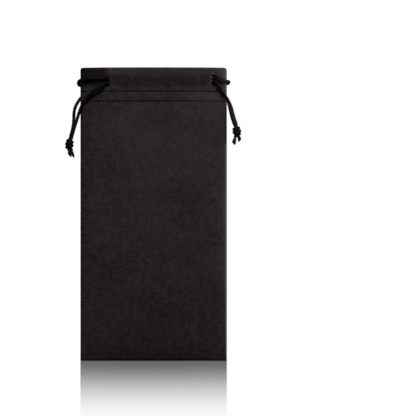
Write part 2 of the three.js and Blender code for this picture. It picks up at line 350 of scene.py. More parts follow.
def smooth_line(points, spacing):
    """A smooth line through the points (a centripetal Catmull-Rom curve), evenly spaced."""
    p = np.array(points, float)
    p = np.vstack([2 * p[0] - p[1], p, 2 * p[-1] - p[-2]])
    found = []
    for i in range(1, len(p) - 2):
        knots = [0.0]
        for a, b in ((i - 1, i), (i, i + 1), (i + 1, i + 2)):
            knots.append(knots[-1] + np.linalg.norm(p[b] - p[a]) ** 0.5)
        t0, t1, t2, t3 = knots
        t = np.linspace(t1, t2, 24, endpoint=False)[:, None]
        a1 = (t1 - t) / (t1 - t0) * p[i - 1] + (t - t0) / (t1 - t0) * p[i]
        a2 = (t2 - t) / (t2 - t1) * p[i] + (t - t1) / (t2 - t1) * p[i + 1]
        a3 = (t3 - t) / (t3 - t2) * p[i + 1] + (t - t2) / (t3 - t2) * p[i + 2]
        b1 = (t2 - t) / (t2 - t0) * a1 + (t - t0) / (t2 - t0) * a2
        b2 = (t3 - t) / (t3 - t1) * a2 + (t - t1) / (t3 - t1) * a3
        found.append((t2 - t) / (t2 - t1) * b1 + (t - t1) / (t2 - t1) * b2)
    line = np.vstack([*found, p[-2:-1]])
    return spread_evenly(line, max(2, round(distances(line)[-1] / spacing) + 1))


def frames_along(line):
    """Two directions across the line at each of its points, turning with it and never twisting."""
    tangents = np.gradient(line, axis=0)
    tangents /= np.linalg.norm(tangents, axis=1)[:, None]
    start = np.cross(tangents[0], (0.13, 0.91, 0.37))
    across = [start / np.linalg.norm(start)]
    for t in tangents[1:]:
        u = across[-1] - t * (across[-1] @ t)
        across.append(u / np.linalg.norm(u))
    u = np.array(across)
    return u, np.cross(tangents, u)


def braid_height(angle, along):
    """The braid's relief, from 0 to 1: strands that cross over and under, in ribs with gaps between."""
    strands = 4
    turn = math.pi * along / RIB_PITCH
    one = np.clip(np.cos(strands * angle / 2 + turn), 0, 1) ** 0.7
    two = np.clip(np.cos(strands * angle / 2 - turn), 0, 1) ** 0.7
    weave = np.cos(strands * angle)
    crossing = np.maximum(one * (0.7 + 0.3 * weave), two * (0.7 - 0.3 * weave))
    rib = smoothstep(0.28, 0.92, np.abs(np.cos(turn + 0.35 * np.cos(2 * angle))))
    return 0.22 * crossing + 0.78 * rib


def tube_parts(line, radius, sides, relief=0.0, taper=None):
    """Vertices, faces and heights of a closed tube round the line, with the braid's relief on it."""
    u, v = frames_along(line)
    angle = np.linspace(0, 2 * math.pi, sides, endpoint=False)
    r = np.full((len(line), sides), radius)
    height = np.ones((len(line), sides))
    if relief:
        height = braid_height(angle[None, :], distances(line)[:, None])
        r = radius * (1 + relief * (2 * height - 1.15))
    if taper is not None:
        r = r * np.array(taper)[:, None]
    outward = np.cos(angle)[None, :, None] * u[:, None, :] + np.sin(angle)[None, :, None] * v[:, None, :]
    ring = line[:, None, :] + r[..., None] * outward
    vertices = np.vstack([ring.reshape(-1, 3), line[:1], line[-1:]])
    faces = [tuple(f) for f in ring_grid(len(line), sides)]
    first, last = len(vertices) - 2, len(vertices) - 1
    base = (len(line) - 1) * sides
    for i in range(sides):
        faces.append(((i + 1) % sides, i, first))
        faces.append((base + i, base + (i + 1) % sides, last))
    return vertices, faces, np.concatenate([height.ravel(), [1, 1]])


def joined(name, parts):
    """One piece from several tubes."""
    vertices, faces, count = [], [], 0
    for v, f, _ in parts:
        vertices.append(v)
        faces.extend(tuple(i + count for i in face) for face in f)
        count += len(v)
    piece = make_mesh(name, np.vstack(vertices), faces)
    write_values(piece, "relief", np.concatenate([h for _, _, h in parts]))
    return piece


# ---- materials -----------------------------------------------


class Nodes:
    """A short way to write a material's node tree."""

    def __init__(self, name):
        self.material = bpy.data.materials.new(name)
        self.material.use_nodes = True
        self.tree = self.material.node_tree
        self.shader = self.tree.nodes["Principled BSDF"]
        self.position = self.add("ShaderNodeTexCoord").outputs["Object"]

    def add(self, kind, **settings):
        node = self.tree.nodes.new(kind)
        for key, value in settings.items():
            setattr(node, key, value)
        return node

    def link(self, output, target):
        self.tree.links.new(output, target)

    def noise(self, scale, detail=2.0, stretch=None):
        node = self.add("ShaderNodeTexNoise")
        node.inputs["Scale"].default_value = scale
        node.inputs["Detail"].default_value = detail
        source = self.position
        if stretch:
            mapping = self.add("ShaderNodeMapping")
            mapping.inputs["Scale"].default_value = stretch
            self.link(source, mapping.inputs["Vector"])
            source = mapping.outputs["Vector"]
        self.link(source, node.inputs["Vector"])
        return node.outputs["Fac"]

    def cells(self, scale):
        node = self.add("ShaderNodeTexVoronoi")
        node.inputs["Scale"].default_value = scale
        self.link(self.position, node.inputs["Vector"])
        return node.outputs["Distance"]

    def value_of(self, name):
        """The value that write_values kept for each point, or 0 where there is none."""
        return self.add("ShaderNodeAttribute", attribute_name=name).outputs["Fac"]

    def math(self, operation, a, b):
        node = self.add("ShaderNodeMath", operation=operation)
        for value, target in ((a, node.inputs[0]), (b, node.inputs[1])):
            if isinstance(value, (int, float)):
                target.default_value = value
            else:
                self.link(value, target)
        return node.outputs[0]

    def ramp(self, value, low, high, start, end):
        """Numbers or colours from start to end as value goes from low to high."""
        node = self.add("ShaderNodeMapRange")
        self.link(value, node.inputs["Value"])
        node.inputs["From Min"].default_value = low
        node.inputs["From Max"].default_value = high
        if isinstance(start, (int, float)):
            node.inputs["To Min"].default_value = start
            node.inputs["To Max"].default_value = end
            return node.outputs["Result"]
        mix = self.add("ShaderNodeMix", data_type="RGBA")
        mix.inputs["A"].default_value = (*start, 1)
        mix.inputs["B"].default_value = (*end, 1)
        self.link(node.outputs["Result"], mix.inputs["Factor"])
        return mix.outputs["Result"]

    def shade(self, colour, factor):
        """The colour darkened by a factor from 0 to 1."""
        node = self.add("ShaderNodeVectorMath", operation="SCALE")
        self.link(colour, node.inputs[0])
        self.link(factor, node.inputs["Scale"])
        return node.outputs[0]

    def bump(self, height, distance, strength, before=None):
        node = self.add("ShaderNodeBump")
        node.inputs["Distance"].default_value = distance
        node.inputs["Strength"].default_value = strength
        self.link(height, node.inputs["Height"])
        if before is not None:
            self.link(before, node.inputs["Normal"])
        return node.outputs["Normal"]

    def set(self, **values):
        for name, value in values.items():
            target = self.shader.inputs[name.replace("_", " ")]
            if isinstance(value, (int, float, tuple)):
                target.default_value = value
            else:
                self.link(value, target)


def microfibre():
    """Black microfibre with a fine leather-like grain."""
    n = Nodes("black_microfibre")
    speck = n.noise(900, 2)
    mottle = n.noise(330, 2)
    cloud = n.noise(42, 3)
    grain = n.cells(1300)
    fine = n.noise(4200, 2)
    tone = n.math("ADD", n.math("MULTIPLY", speck, 0.45), n.math("MULTIPLY", mottle, 0.35))
    tone = n.math("ADD", tone, n.math("MULTIPLY", cloud, 0.20))
    colour = n.ramp(tone, 0.38, 0.62, (0.0115, 0.0080, 0.0090), (0.0315, 0.0230, 0.0256))
    # painted shade: the fabric between the left hole and the edge is darkened, and its specular lowered
    painted_corner_shade = n.value_of("painted_corner_shade")
    colour = n.shade(colour, n.ramp(painted_corner_shade, 0, 1, 1.0, 0.48))
    shine = n.ramp(painted_corner_shade, 0, 1, 0.20, 0.05)
    rough = n.ramp(mottle, 0.3, 0.7, 0.62, 0.76)
    relief = n.bump(fine, 0.00002, 0.4, n.bump(grain, 0.00005, 0.6, n.bump(mottle, 0.00012, 0.5)))
    n.set(Base_Color=colour, Roughness=rough, Normal=relief, Specular_IOR_Level=shine)
    n.set(Sheen_Weight=0.02, Sheen_Roughness=0.45, Sheen_Tint=(1.0, 0.82, 0.86, 1))
    return n.material


def braided_cord(tips=False):
    """Black braid, with shade painted between its ribs and towards its sides as seen. Its cut tips are
    paler.
    """
    n = Nodes("frayed_cord" if tips else "black_braided_cord")
    fibres = n.noise(7000, 2)
    colour = n.ramp(fibres, 0.3, 0.7, (0.0110, 0.0084, 0.0076), (0.0200, 0.0150, 0.0136))
    # painted shade in the gaps between the ribs
    colour = n.shade(colour, n.ramp(n.value_of("relief"), 0.20, 0.90, 0.05, 1.0))
    # painted shade towards the cord's outline, darker the more it turns away from the view
    turned_away = n.add("ShaderNodeLayerWeight").outputs["Facing"]
    colour = n.shade(colour, n.ramp(turned_away, 0.12, 0.58, 1.0, 0.06))
    if tips:
        uneven = n.ramp(n.noise(2600), 0.35, 0.65, 0.75, 1.0)
        pale = n.ramp(n.math("MULTIPLY", n.value_of("tip"), uneven), 0.72, 0.92, 0.0, 1.0)
        mix = n.add("ShaderNodeMix", data_type="RGBA")
        mix.inputs["B"].default_value = (0.10, 0.088, 0.08, 1)
        n.link(pale, mix.inputs["Factor"])
        n.link(colour, mix.inputs["A"])
        colour = mix.outputs["Result"]
    relief = n.bump(fibres, 0.00004, 0.5)
    n.set(Base_Color=colour, Roughness=0.70, Normal=relief, Specular_IOR_Level=0.06)
    return n.material


def sewing_thread():
    """Black thread, with shade painted where it dives into the fabric."""
    n = Nodes("black_thread")
    twist = n.noise(6000, 1, (1, 1, 3))
    colour = n.ramp(twist, 0.3, 0.7, (0.0055, 0.0045, 0.0047), (0.0090, 0.0075, 0.0078))
    # painted shade at the stitch ends, darkest where the thread dives in
    colour = n.shade(colour, n.ramp(n.value_of("relief"), 0, 1, 0.03, 1.0))
    n.set(Base_Color=colour, Roughness=0.5, Normal=n.bump(twist, 0.00003, 0.5), Specular_IOR_Level=0.2)
    return n.material


def cut_edge():
    """The fabric's raw edge, seen where the holes are punched, and pale where it is frayed."""
    n = Nodes("cut_edge")
    fibres = n.noise(2600, 3)
    pale = n.math("MULTIPLY", n.value_of("relief"), n.ramp(fibres, 0.35, 0.60, 0.35, 1.0))
    colour = n.ramp(pale, 0.0, 1.0, (0.014, 0.011, 0.011), (0.26, 0.23, 0.22))
    n.set(Base_Color=colour, Roughness=0.9, Normal=n.bump(fibres, 0.00008, 0.6), Specular_IOR_Level=0.1)
    return n.material


FABRIC, CORD_FINISH, FRAYED = microfibre(), braided_cord(), braided_cord(tips=True)
THREAD, RAW = sewing_thread(), cut_edge()


def finish_piece(piece, material, slot, *nodes):
    piece.data.materials.clear()
    piece.data.materials.append(material)
    if nodes:
        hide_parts(*nodes)
    return piece


# ---- placement -----------------------------------------------


def gather(piece, hand):
    """Bakes the piece's placement into its mesh; the piece does not follow its corner."""
    normal = Vector(GATHER_NORMAL[hand])
    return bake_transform(piece)


# ---- cords ---------------------------------------------------

# The free cords, from a hole to the knot, as in the model.
TAILS = {
    "left_cord_front_tail": [
        (-0.0294, -0.0095, 0.1700), (-0.0313, -0.0097, 0.1686), (-0.0346, -0.0092, 0.1665),
        (-0.0385, -0.0079, 0.1635), (-0.0416, -0.0063, 0.1603), (-0.0437, -0.0048, 0.1571),
        (-0.0451, -0.0035, 0.1538), (-0.0463, -0.0026, 0.1504), (-0.0476, -0.0019, 0.1464),
        (-0.0489, -0.0015, 0.1423), (-0.0501, -0.0012, 0.1380),
    ],
    "left_cord_back_tail": [
        (-0.0294, 0.0095, 0.1702), (-0.0320, 0.0096, 0.1691), (-0.0364, 0.0086, 0.1676),
        (-0.0408, 0.0069, 0.1654), (-0.0443, 0.0052, 0.1625), (-0.0467, 0.0038, 0.1592),
        (-0.0484, 0.0028, 0.1557), (-0.0491, 0.0022, 0.1521), (-0.0492, 0.0019, 0.1485),
        (-0.0495, 0.0016, 0.1450), (-0.0502, 0.0014, 0.1414), (-0.0511, 0.0012, 0.1380),
    ],
    "right_cord_front_tail": [
        (0.0379, -0.0079, 0.1714), (0.0393, -0.0079, 0.1700), (0.0411, -0.0071, 0.1670),
        (0.0430, -0.0060, 0.1641), (0.0449, -0.0046, 0.1611), (0.0461, -0.0035, 0.1580),
        (0.0469, -0.0028, 0.1547), (0.0477, -0.0022, 0.1513), (0.0485, -0.0017, 0.1484),
        (0.0495, -0.0013, 0.1456),
    ],
    "right_cord_back_tail": [
        (0.0379, 0.0079, 0.1714), (0.0388, 0.0079, 0.1695), (0.0406, 0.0074, 0.1669),
        (0.0430, 0.0063, 0.1641), (0.0452, 0.0049, 0.1612), (0.0469, 0.0037, 0.1581),
        (0.0480, 0.0028, 0.1549), (0.0488, 0.0022, 0.1518), (0.0497, 0.0017, 0.1486),
        (0.0507, 0.0013, 0.1456),
    ],
}
# "neck" is how far to the side the cords enter the knot.
KNOTS = {
    "left": {"at": (-0.0518, 0.0, 0.1332), "width": 0.0053, "height": 0.0072, "neck": 0.0011},
    "right": {"at": (0.0511, 0.0, 0.1412), "width": 0.0055, "height": 0.0066, "neck": -0.0009},
}
RELIEF = 0.15  # how deep the braid's relief is, as a share of the radius
RING_STEP = 0.00016
CORD_SIDES = 32
BEHIND_HOLE = 0.0042  # how far inside the channel a cord that comes out of a hole starts
BELOW_RIM = 0.0008


def inside_hole(hand, side, z):
    """Points of a cord that comes out of a hole, from the channel's middle to the open air."""
    x, outward = HOLES[hand][0], OUTWARD[hand]
    z_at = np.array(z)
    middle = float(layer_depth(side, np.array(x - outward * 0.0035), z_at, channel_offset(z_at)))
    rim = float(layer_depth(side, np.array(x), z_at, swell(z_at) - BELOW_RIM))
    return [(x - outward * BEHIND_HOLE, side * middle, z), (x - outward * 0.0003, side * rim, z)]


def make_tails():
    """Each free cord, with its hand and face, its piece, its whole line and its place at the hole."""
    for name, points in TAILS.items():
        hand, _, face, _ = name.split("_")
        start = inside_hole(hand, FACES[face], points[0][2] + 0.0006)
        whole = smooth_line([*start, *points[1:], tail_end(hand, points)], RING_STEP)
        piece = joined(name + "_braid", [tube_parts(whole, CORD / 2, CORD_SIDES, RELIEF)])
        finish_piece(piece, CORD_FINISH, "cord", name)
        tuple(points[1])
        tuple(points[-1])
        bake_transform(piece)
        yield hand, face, piece, whole, points[0]


def tail_end(hand, points):
    """The cord's last point, just inside its knot."""
    at = Vector(KNOTS[hand]["at"])
    last = Vector(points[-1])
    return tuple(last + (at - last) * 0.35)


def knot_piece(hand):
    """The knot that ties both ends together: a strand winds round them and dives in above and below."""
    at = np.array(KNOTS[hand]["at"])
    width, height, neck = (KNOTS[hand][key] for key in ("width", "height", "neck"))
    strand = 0.00102
    core = 0.00096
    reach = width / 2 - strand
    t = np.linspace(0, 1, 46)
    turns = 2.55
    angle = 2 * math.pi * (turns * (t - 0.5)) + 0.35
    profile = np.interp(t, [0, 0.10, 0.26, 0.5, 0.80, 0.92, 1], [0.35, 0.72, 0.92, 1.0, 0.98, 0.75, 0.3])
    x = OUTWARD[hand] * reach * profile * np.cos(angle)
    y = reach * profile * np.sin(angle)
    z = (height / 2 - strand) * (1 - 2 * t)
    x = x + neck * 0.5 * z / height
    wound = at + np.stack([x, y, z], axis=1)
    parts = [tube_parts(smooth_line(wound, RING_STEP), strand, 28, RELIEF)]
    for sign in (-1, 1):
        centre = [
            (neck * 1.05, 0.0010 * sign, height / 2 + 0.0010),
            (neck * 0.80, 0.0008 * sign, height / 4),
            (0, 0.0005 * sign, 0),
            (neck * 0.2 + 0.0005 * sign, 0.0006 * sign, -height / 4),
            (neck * 0.3 + 0.0007 * sign, 0.0008 * sign, -height / 2 - 0.0002),
        ]
        parts.append(tube_parts(smooth_line(at + np.array(centre), RING_STEP), core, 24, RELIEF))
    return joined(f"{hand}_cord_knot_braid", parts)


FIBRES = 60
FIBRE_SIDES = 5
GOLDEN_ANGLE = 2.39996  # it spreads the fibres evenly
STUB_RADIUS = 0.00092

# Each end's stub, the tip that its fibres reach for, and how wide they spread there.
ENDS = {
    "left_cord_front_end": {
        "stub": [(-0.0519, -0.0008, 0.1304), (-0.0519, -0.0009, 0.1287), (-0.0516, -0.0009, 0.1269)],
        "tip": (-0.0508, -0.0009, 0.1249), "spread": 0.35,
    },
    "left_cord_back_end": {
        "stub": [(-0.0506, 0.0008, 0.1304), (-0.0504, 0.0009, 0.1286), (-0.0500, 0.0009, 0.1270)],
        "tip": (-0.0488, 0.0008, 0.1241), "spread": 0.12,
    },
    "right_cord_front_end": {
        "stub": [(0.0506, -0.0008, 0.1388), (0.0501, -0.0009, 0.1371), (0.0496, -0.0009, 0.1353)],
        "tip": (0.0490, -0.0008, 0.1325), "spread": 1.25,
    },
    "right_cord_back_end": {
        "stub": [(0.0520, 0.0008, 0.1388), (0.0523, 0.0009, 0.1377), (0.0527, 0.0009, 0.1367)],
        "tip": (0.0533, 0.0009, 0.1347), "spread": 1.0,
    },
}


def frayed_end(name, seed):
    """A cut end: a short stub of braid that opens into fine fibres, paler where they were cut."""
    rng = np.random.default_rng(seed)
    stub = smooth_line(ENDS[name]["stub"], RING_STEP)
    parts = [tube_parts(stub, STUB_RADIUS, 24, RELIEF)]
    tips = [np.zeros(len(parts[0][0]))]
    along = stub[-1] - stub[-4]
    along /= np.linalg.norm(along)
    u = np.cross(along, (0, 1, 0))
    u /= np.linalg.norm(u)
    v = np.cross(along, u)
    reach = np.array(ENDS[name]["tip"]) - stub[-1]
    lean = reach - along * (reach @ along)
    for i in range(FIBRES):
        r = STUB_RADIUS * math.sqrt((i + 0.5) / FIBRES)
        a = i * GOLDEN_ANGLE
        outward = r * (math.cos(a) * u + math.sin(a) * v)
        foot = stub[-1] - along * 0.0005 + outward
        short = 0.22 * (1 - (outward @ lean) / (STUB_RADIUS * np.linalg.norm(lean) + 1e-9))
        length = rng.uniform(0.80, 1.0) - short
        spread = ENDS[name]["spread"] * rng.uniform(0.75, 1.25)
        end = stub[-1] + reach * length + outward * spread + rng.normal(0, 0.00009, 3)
        middle = (foot + end) / 2 + outward * 0.22 + rng.normal(0, 0.00007, 3)
        hair = smooth_line([foot, middle, end], 0.00035)
        taper = np.linspace(1, 0.4, len(hair))
        parts.append(tube_parts(hair, rng.uniform(0.00012, 0.00018), FIBRE_SIDES, 0, taper))
        rings = np.repeat(np.linspace(0, 1, len(hair)), FIBRE_SIDES)
        tips.append(np.concatenate([rings, [0, 1]]))
    piece = joined(name + "_fibres", parts)
    write_values(piece, "tip", np.concatenate(tips))
    return piece


knots = {}
for hand in HOLES:
    knots[hand] = finish_piece(knot_piece(hand), CORD_FINISH, "cord", f"{hand}_cord_knot")
    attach(knots[hand], f"{hand}_tails")
ends = {}
for number, name in enumerate(ENDS):
    ends[name] = finish_piece(frayed_end(name, 70 + number), FRAYED, "cord", name)
    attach(ends[name], name.split("_")[0] + "_tails")

for hand, face, piece, line, exit_point in make_tails():
    round(float(distances(line)[-1]), 4)
    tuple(exit_point)
    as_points(line)


def on_face(side, x, z, lift=0.0):
    """A cord's centre where the cord lies on the outer face."""
    depth = float(outer_depth(side, np.array(x), np.array(z)) + outer_profile(np.array(z)))
    return (x, side * (depth + CORD / 2 + lift), z)


def make_wrap(name, hand):
    """The cord that leaves a front hole, crosses the pouch's edge on a slant and enters the hole behind."""
    front_hole, front_near, at_edge, back_near, back_hole = WRAPS[hand]
    edge, hole_x = OUTWARD[hand], HOLES[hand][0]
    outside = edge * (HALF + CORD / 2 + 0.0001)
    shoulder = outside - edge * 0.0005
    near = edge * (HALF - NEAR_EDGE)
    half_way = hole_x + (near - hole_x) * 0.55
    away = hole_x + edge * 0.0026
    points = [
        *inside_hole(hand, -1, front_hole),
        on_face(-1, away, front_hole),
        on_face(-1, half_way, front_hole + (front_near - front_hole) * 0.45),
        on_face(-1, near, front_near, 0.0002),
        (shoulder, -0.0027, (front_near + at_edge) / 2),
        (outside, 0.0, at_edge),
        (shoulder, 0.0027, (at_edge + back_near) / 2),
        on_face(1, near, back_near, 0.0002),
        on_face(1, half_way, back_hole + (back_near - back_hole) * 0.45),
        on_face(1, away, back_hole),
        *inside_hole(hand, 1, back_hole)[::-1],
    ]
    line = smooth_line(points, RING_STEP)
    piece = joined(name + "_braid", [tube_parts(line, CORD / 2, CORD_SIDES, RELIEF)])
    finish_piece(piece, CORD_FINISH, "cord", name)
    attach(piece, f"{hand}_corner")


make_wrap("right_cord_wrap", "left")
make_wrap("left_cord_wrap", "right")


# Each cord's heights inside the channel, at the left holes and at the right ones.
RUNS = {"left": (0.1707, 0.1719), "right": (0.1740, 0.1752)}
RUN_INSET = 0.0040  # how far short of the holes the runs end
SQUEEZED = 0.95  # a cord's share of its thickness where the channel holds it


def make_runs():
    """The cords inside the channel, in two halves."""
    for cord, heights in RUNS.items():
        for face, side in FACES.items():
            name = f"{cord}_cord_{face}_run"
            for hand, (hole_x, _) in HOLES.items():
                x = np.linspace(SPLIT_X, hole_x - OUTWARD[hand] * RUN_INSET, 9)
                z = np.interp(x, [HOLES["left"][0], HOLES["right"][0]], heights)
                y = side * layer_depth(side, x, z, channel_offset(z))
                line = smooth_line(np.stack([x, y, z], axis=1), 0.0004)
                piece = joined(f"{name}_{hand}", [tube_parts(line, CORD / 2 * SQUEEZED, 16, 0.08)])
                finish_piece(piece, CORD_FINISH, "cord", name)
                gather(piece, hand)


make_runs()


# ---- fabric --------------------------------------------------


def panel_levels():
    """Heights up the panel, closer together at the foot and at the hem."""
    foot = np.linspace(0, 0.004, 12, endpoint=False)
    body = np.linspace(0.004, 0.150, 98, endpoint=False)
    hem = np.linspace(0.150, FOLD_START, 92)
    return np.concatenate([foot, body, hem])


def panel_section():
    """Lines of (offset, height) up the outer and the inner face, each to the top of the fold."""
    z = panel_levels()
    turn = np.linspace(0, math.pi / 2, 12)[1:]
    crest_out = outer_profile(np.array(FOLD_START)) - FOLD_CREST
    crest_in = FOLD_CREST + CHANNEL_DEPTH
    crest_z = FOLD_START + (HEIGHT - FOLD_START) * np.sin(turn)
    outer = np.stack([outer_profile(z), z], axis=1)
    over = np.stack([FOLD_CREST + crest_out * np.cos(turn), crest_z], axis=1)
    back = np.stack([FOLD_CREST - crest_in * np.cos(turn), crest_z], axis=1)
    inner = np.stack([inner_profile(z), z], axis=1)
    return np.vstack([outer, over]), np.vstack([inner, back])


def panel_columns():
    """Places across the width: even in the middle, closer together at the rolled edges."""
    rolled = 0.003
    left = np.linspace(-HALF + rolled, SPLIT_X, 66)
    right = np.linspace(SPLIT_X, HALF - rolled, 54)[1:]
    roll = rolled * (1 - np.cos(np.linspace(0, math.pi / 2, 12, endpoint=False)))
    return np.concatenate([-HALF + roll, left, right, (HALF - roll)[::-1]])


def channel_section():
    """The hollow of the cord channel, as a ring of (offset, height)."""
    t = np.linspace(0, 2 * math.pi, 28, endpoint=False)
    middle, wide, tall = 0.1732, 0.00145, 0.0047
    squared = 0.75
    z = middle + tall * np.sign(np.sin(t)) * np.abs(np.sin(t)) ** squared
    o = channel_offset(z) + wide * np.sign(np.cos(t)) * np.abs(np.cos(t)) ** squared
    return np.stack([o, z], axis=1)


def swept(side, columns, ring):
    """The vertices of a section swept across the width."""
    x = np.broadcast_to(columns[:, None], (len(columns), len(ring)))
    z = np.broadcast_to(ring[:, 1], x.shape)
    y = side * layer_depth(side, x, z, ring[:, 0])
    return np.stack([outline_x(x, z), y, z], axis=-1).reshape(-1, 3)


def panel_mesh(side):
    """A whole panel: its section swept across the width, closed at the sides, with the hollow channel."""
    columns = panel_columns()
    outer, inner = panel_section()
    ring = np.vstack([outer, inner[-2::-1]])
    count, levels = len(ring), len(outer)
    vertices = swept(side, columns, ring)
    faces = ring_grid(len(columns), count)
    caps = []
    for base, flip in ((0, False), ((len(columns) - 1) * count, True)):
        for i in range(levels - 2):
            quad = (base + i, base + count - 1 - i, base + count - 2 - i, base + i + 1)
            caps.append(quad[::-1] if flip else quad)
        top = (base + levels - 2, base + levels, base + levels - 1)
        caps.append(top[::-1] if flip else top)
    hollow_columns = columns[(columns > -HALF + 0.0028) & (columns < HALF - 0.0028)]
    hollow_ring = channel_section()
    hollow = swept(side, hollow_columns, hollow_ring)
    first = len(vertices)
    last = first + (len(hollow_columns) - 1) * len(hollow_ring)
    hollow_faces = ring_grid(len(hollow_columns), len(hollow_ring))[:, ::-1] + first
    ends_of_hollow = [
        tuple(first + i for i in range(len(hollow_ring))),
        tuple(last + i for i in range(len(hollow_ring)))[::-1],
    ]
    everything = [*map(tuple, faces), *caps, *map(tuple, hollow_faces), *ends_of_hollow]
    if side > 0:
        everything = [f[::-1] for f in everything]
    return make_mesh(f"panel_{'front' if side < 0 else 'back'}", np.vstack([vertices, hollow]), everything)


def slot_outline(hole, grow=0.0, count=40):
    """A hole's outline: two half rounds joined by short straights."""
    r = SLOT_WIDTH / 2 + grow
    straight = (SLOT_HEIGHT - SLOT_WIDTH) / 2
    t = np.linspace(0, 2 * math.pi, count, endpoint=False)
    x = hole[0] + r * np.cos(t)
    z = hole[1] + r * np.sin(t) + straight * np.sign(np.sin(t)) * np.minimum(1, np.abs(np.sin(t)) * 4)
    return x, z


def slot_cutter(hole, side):
    """A block in a hole's shape that reaches from the channel's middle out past the face."""
    x, z = slot_outline(hole)
    inside = float(layer_depth(side, np.array(hole[0]), np.array(hole[1]), channel_offset(hole[1])))
    rings = []
    for depth in (inside, inside + 0.006):
        rings.append(np.stack([x, np.full(len(x), side * depth), z], axis=1))
    count = len(x)
    faces = [tuple(f) for f in ring_grid(2, count)]
    faces += [tuple(range(count))[::-1], tuple(range(count, 2 * count))]
    cutter = make_mesh("cutter", np.vstack(rings), faces, smooth=False)
    shape = bmesh.new()
    shape.from_mesh(cutter.data)
    bmesh.ops.recalc_face_normals(shape, faces=shape.faces)
    shape.to_mesh(cutter.data)
    shape.free()
    return cutter


def punch(piece, side):
    """Cuts both holes through the panel's outer layer."""
    for hole in HOLES.values():
        cutter = slot_cutter(hole, side)
        modifier = piece.modifiers.new("hole", "BOOLEAN")
        modifier.operation = "DIFFERENCE"
        modifier.solver = "EXACT"
        modifier.object = cutter
        graph = bpy.context.evaluated_depsgraph_get()
        cut = bpy.data.meshes.new_from_object(piece.evaluated_get(graph))
        piece.modifiers.clear()
        piece.data = cut
        bpy.data.objects.remove(cutter)


def close_ends(piece):
    """Closes the cut through the panel, flat, without touching the rest."""
    shape = bmesh.new()
    shape.from_mesh(piece.data)
    rim = [edge for edge in shape.edges if edge.is_boundary]
    bmesh.ops.triangle_fill(shape, use_beauty=True, edges=rim, normal=(1, 0, 0))
    bmesh.ops.recalc_face_normals(shape, faces=shape.faces)
    shape.to_mesh(piece.data)
    shape.free()


def halves(piece, name):
    """Parts the panel at the split, keeping the shading of the whole, so that no line shows."""
    mesh = piece.data
    co = read_points(mesh)
    normals = np.empty(co.size)
    mesh.vertex_normals.foreach_get("vector", normals)
    normals = normals.reshape(-1, 3)
    polygons = [tuple(p.vertices) for p in mesh.polygons]
    middles = np.array([co[list(p), 0].mean() for p in polygons])
    for hand, chosen in (("left", middles < SPLIT_X), ("right", middles >= SPLIT_X)):
        kept = [p for p, keep in zip(polygons, chosen) if keep]
        used = sorted({i for p in kept for i in p})
        place = {old: new for new, old in enumerate(used)}
        half = make_mesh(f"{name}_{hand}", co[used], [tuple(place[i] for i in p) for p in kept])
        close_ends(half)
        half.data.normals_split_custom_set_from_vertices([tuple(normals[i]) for i in used])
        yield hand, half
    bpy.data.objects.remove(piece)


def paint_corner_shade(piece):
    """Marks where shade is painted on the fabric between the left hole and the edge, at the top of the hem.
    """
    x, _, z = read_points(piece.data).T
    hole_x = HOLES["left"][0]
    beside = 1 - smoothstep(hole_x - 0.0022, hole_x + 0.0020, x)
    write_values(piece, "painted_corner_shade", beside * smoothstep(0.1665, 0.1715, z))


def make_panels():
    for face, side in FACES.items():
        whole = panel_mesh(side)
        punch(whole, side)
        for hand, half in halves(whole, f"{face}_panel"):
            finish_piece(half, FABRIC, "fabric", f"{face}_panel")
            # paints shade on the fabric at the top left
            paint_corner_shade(half)
            gather(half, hand)


make_panels()


# Pale tufts on each front hole's rim: across and up from the hole's middle, and how frayed.
TUFTS = {
    "left": ((0.0012, 0.0030, 0.35),),
    "right": ((-0.0007, 0.0037, 1.0), (-0.0018, 0.0015, 0.9), (-0.0018, -0.0007, 0.8)),
}
TUFT_SIZE = 0.00062
RIM_RADIUS = 0.00024
RIM_SIDES = 8
RIM_SINK = 0.00010  # how far below the face the rim's middle lies


def make_hole_edges():
    """The raw fabric edge round each punched hole, slightly furred."""
    for face, side in FACES.items():
        for hand, hole in HOLES.items():
            x, z = slot_outline(hole, 0.00002, 72)
            seed = 5 + (side > 0) * 2 + (hand == "right")
            rng = np.random.default_rng(seed)
            y = side * (outer_depth(side, x, z) + outer_profile(z) - RIM_SINK)
            line = np.stack([x, y, z], axis=1)
            line = spread_evenly(np.vstack([line, line[:1]]), 90)
            wobble = 1 + 0.22 * rng.standard_normal(len(line))
            wobble[-1] = wobble[0]
            tufts = TUFTS[hand] if side < 0 else rng.uniform(-1, 1, (3, 3)) * (0.002, 0.0035, 0.5)
            frayed = np.zeros(len(line))
            for across, up, amount in tufts:
                away = np.hypot(line[:, 0] - hole[0] - across, line[:, 2] - hole[1] - up)
                frayed += abs(amount) * bump(0, TUFT_SIZE, away)
            taper = np.clip(wobble, 0.6, 1.5) + 0.6 * frayed
            vertices, faces, height = tube_parts(line, RIM_RADIUS, RIM_SIDES, 0, taper)
            height[:-2] = np.repeat(np.clip(frayed, 0.04, 1), RIM_SIDES)
            height[-2:] = frayed[0]
            piece = joined(f"{hand}_{face}_hole_edge", [(vertices, faces, height)])
            finish_piece(piece, RAW, "fabric")
            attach(piece, f"{hand}_corner")


make_hole_edges()


# ---- stitching -----------------------------------------------


ROWS = {"upper": UPPER_ROW, "lower": LOWER_ROW}
ROW_INSET = 0.0022  # how far short of the side edges the rows end
THREAD_SIDES = 8
STITCH_LIFT = 0.00014  # how far the thread's middle lies above the valley's floor
STITCH_DIVE = 0.00012  # how far its ends sink
INNER_OFFSET = -HEM_WALL - 0.00005  # the stitches seen inside the pouch
INNER_DIVE = -0.0004


